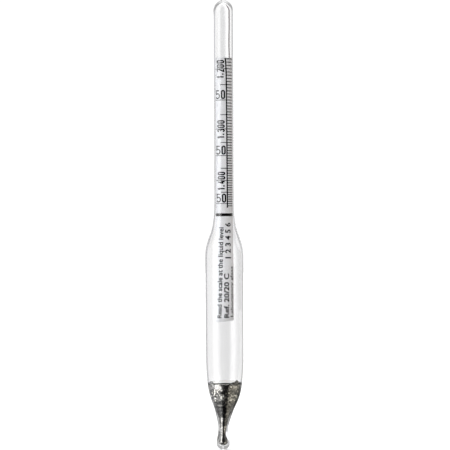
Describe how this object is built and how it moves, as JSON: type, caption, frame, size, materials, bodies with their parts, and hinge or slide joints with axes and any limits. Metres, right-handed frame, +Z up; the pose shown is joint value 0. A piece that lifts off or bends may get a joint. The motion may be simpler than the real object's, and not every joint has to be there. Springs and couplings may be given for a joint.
{
  "type": "hydrometer",
  "caption": "Short glass hydrometer: slim sealed stem with a rolled paper density scale, round barrel, and a tail drawn down to a bead that holds cast metal ballast.",
  "frame": {"origin": "on the axis at the foot of the straight stem, where the stem tube joins the body; the lowest point of the tip bead is at z = -0.0885 m", "axes": "+Z up the axis towards the sealed end of the stem; -Y is the front, where the scale is read; +X is to the right of someone who reads it"},
  "size_m": [0.014, 0.014, 0.1647],
  "materials": {
    "glass": "clear drawn glass, fire-polished",
    "paper": "smooth uncoated scale paper",
    "ink": "black printing ink with a slight sheen",
    "cement": "clear amber cement",
    "lead": "cast lead, bright where it lies against the glass and mottled dull grey elsewhere",
    "wax": "cream sealing wax, smooth with a soft sheen"
  },
  "bodies": {
    "root": {"stem_tube": "glass", "body_tube": "glass", "ballast_tail": "glass", "scale_sheet": "paper", "index_band": "ink", "scale_cement": "cement", "ballast_metal": "lead", "ballast_seal": "wax"}
  },
  "joints": []
}
